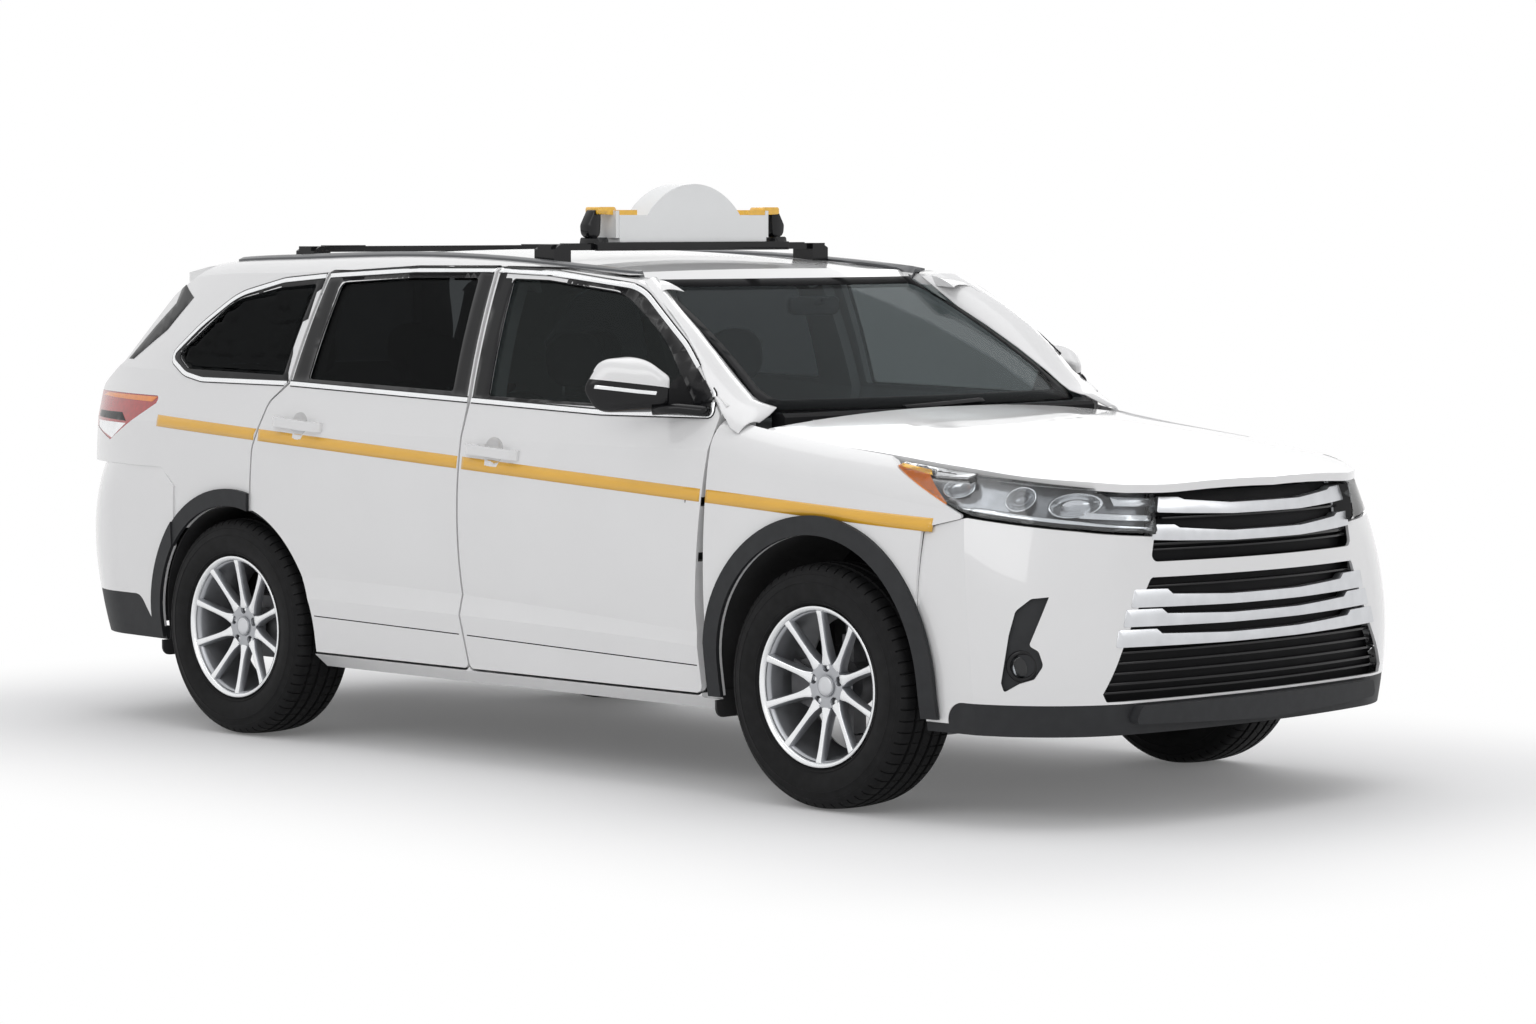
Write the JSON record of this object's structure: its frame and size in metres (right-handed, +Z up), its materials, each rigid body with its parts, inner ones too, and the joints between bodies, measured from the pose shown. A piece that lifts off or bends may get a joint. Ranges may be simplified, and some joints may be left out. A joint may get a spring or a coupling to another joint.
{
  "type": "taxi cab",
  "caption": "Seven-seat crossover taxi cab with hinged doors, hood and tailgate, steered front wheels and a blank roof sign.",
  "frame": {"origin": "on the ground at half the overall length, on the car's middle plane", "axes": "+X forward, +Y to the car's left, +Z up"},
  "size_m": [4.8954, 2.1998, 1.8829],
  "materials": {
    "paint_white": "gloss",
    "underbody": "matte",
    "plastic_dark": "textured",
    "plastic_gloss_black": "gloss",
    "grille_bright": "satin",
    "lamp_clear": "gloss",
    "lamp_red": "gloss",
    "lamp_amber": "gloss",
    "sign_white": "satin",
    "window_glass": "gloss",
    "steel": "satin",
    "cast": "matte",
    "wheel_silver": "satin",
    "tyre_rubber": "matte",
    "seat_fabric": "woven",
    "cabin_plastic": "grained",
    "bar_metal": "satin"
  },
  "bodies": {
    "body": {"side_frame_left": "paint_white", "side_frame_right": "paint_white", "roof_panel": "paint_white", "fenders": "paint_white", "front_bumper": "paint_white", "rear_bumper": "paint_white", "front_lower_trim": "plastic_dark", "rear_lower_trim": "plastic_dark", "side_cladding": "plastic_dark", "grille": "plastic_gloss_black", "headlamps": "lamp_clear", "fog_lamps": "lamp_clear", "tail_lamps": "lamp_red", "fixed_glass": "window_glass", "floor_pan": "underbody", "wheel_liners": "plastic_dark", "front_suspension": "steel", "rear_suspension": "steel", "engine": "cast", "exhaust": "steel", "front_seats": "seat_fabric", "rear_seats": "seat_fabric", "dashboard": "cabin_plastic", "roof_bars": "bar_metal", "roof_sign": "sign_white", "sign_lamps": "lamp_amber", "cowl": "plastic_dark", "hinges": "steel"},
    "knuckle_left": {"knuckle_left": "cast"},
    "wheel_front_left": {"wheel_front_left": "wheel_silver", "tyre_front_left": "tyre_rubber"},
    "front_door_left": {"front_door_left": "paint_white", "front_window_left": "window_glass", "mirror_left": "paint_white"},
    "wheel_rear_left": {"wheel_rear_left": "wheel_silver", "tyre_rear_left": "tyre_rubber"},
    "rear_door_left": {"rear_door_left": "paint_white", "rear_window_left": "window_glass"},
    "knuckle_right": {"knuckle_right": "cast"},
    "wheel_front_right": {"wheel_front_right": "wheel_silver", "tyre_front_right": "tyre_rubber"},
    "front_door_right": {"front_door_right": "paint_white", "front_window_right": "window_glass", "mirror_right": "paint_white"},
    "wheel_rear_right": {"wheel_rear_right": "wheel_silver", "tyre_rear_right": "tyre_rubber"},
    "rear_door_right": {"rear_door_right": "paint_white", "rear_window_right": "window_glass"},
    "hood": {"hood": "paint_white"},
    "tailgate": {"tailgate": "paint_white", "tailgate_window": "window_glass"},
    "steering_wheel": {"steering_wheel": "cabin_plastic"}
  },
  "joints": [
    {"name": "steer_left", "type": "hinge", "parent": "body", "child": "knuckle_left", "pos_m": [1.46, 0.765, 0.372], "axis": [0, 0, 1], "range_deg": [-34, 34]},
    {"name": "spin_front_left", "type": "hinge", "parent": "knuckle_left", "child": "wheel_front_left", "pos_m": [1.46, 0.8175, 0.372], "axis": [0, 1, 0], "continuous": true},
    {"name": "front_door_left_hinge", "type": "hinge", "parent": "body", "child": "front_door_left", "pos_m": [0.906, 0.932, 0.72], "axis": [0, 0, -1], "range_deg": [0, 68]},
    {"name": "spin_rear_left", "type": "hinge", "parent": "body", "child": "wheel_rear_left", "pos_m": [-1.33, 0.823, 0.372], "axis": [0, 1, 0], "continuous": true},
    {"name": "rear_door_left_hinge", "type": "hinge", "parent": "body", "child": "rear_door_left", "pos_m": [-0.199, 0.932, 0.72], "axis": [0, 0, -1], "range_deg": [0, 68]},
    {"name": "steer_right", "type": "hinge", "parent": "body", "child": "knuckle_right", "pos_m": [1.46, -0.765, 0.372], "axis": [0, 0, 1], "range_deg": [-34, 34]},
    {"name": "spin_front_right", "type": "hinge", "parent": "knuckle_right", "child": "wheel_front_right", "pos_m": [1.46, -0.8175, 0.372], "axis": [0, 1, 0], "continuous": true},
    {"name": "front_door_right_hinge", "type": "hinge", "parent": "body", "child": "front_door_right", "pos_m": [0.906, -0.932, 0.72], "axis": [0, 0, 1], "range_deg": [0, 68]},
    {"name": "spin_rear_right", "type": "hinge", "parent": "body", "child": "wheel_rear_right", "pos_m": [-1.33, -0.823, 0.372], "axis": [0, 1, 0], "continuous": true},
    {"name": "rear_door_right_hinge", "type": "hinge", "parent": "body", "child": "rear_door_right", "pos_m": [-0.199, -0.932, 0.72], "axis": [0, 0, 1], "range_deg": [0, 68]},
    {"name": "hood_hinge", "type": "hinge", "parent": "body", "child": "hood", "pos_m": [1.146, 0, 1.144], "axis": [0, -1, 0], "range_deg": [0, 50]},
    {"name": "tailgate_hinge", "type": "hinge", "parent": "body", "child": "tailgate", "pos_m": [-1.752, 0, 1.604], "axis": [0, 1, 0], "range_deg": [0, 85]},
    {"name": "steering_wheel_turn", "type": "hinge", "parent": "body", "child": "steering_wheel", "pos_m": [0.56, -0.372, 1.01], "axis": [-0.9135, 0, 0.4067], "range_deg": [-510, 510]}
  ],
  "couplings": [
    {"joint": "steer_right", "follows": "steer_left", "ratio": 1},
    {"joint": "steering_wheel_turn", "follows": "steer_left", "ratio": 15}
  ]
}
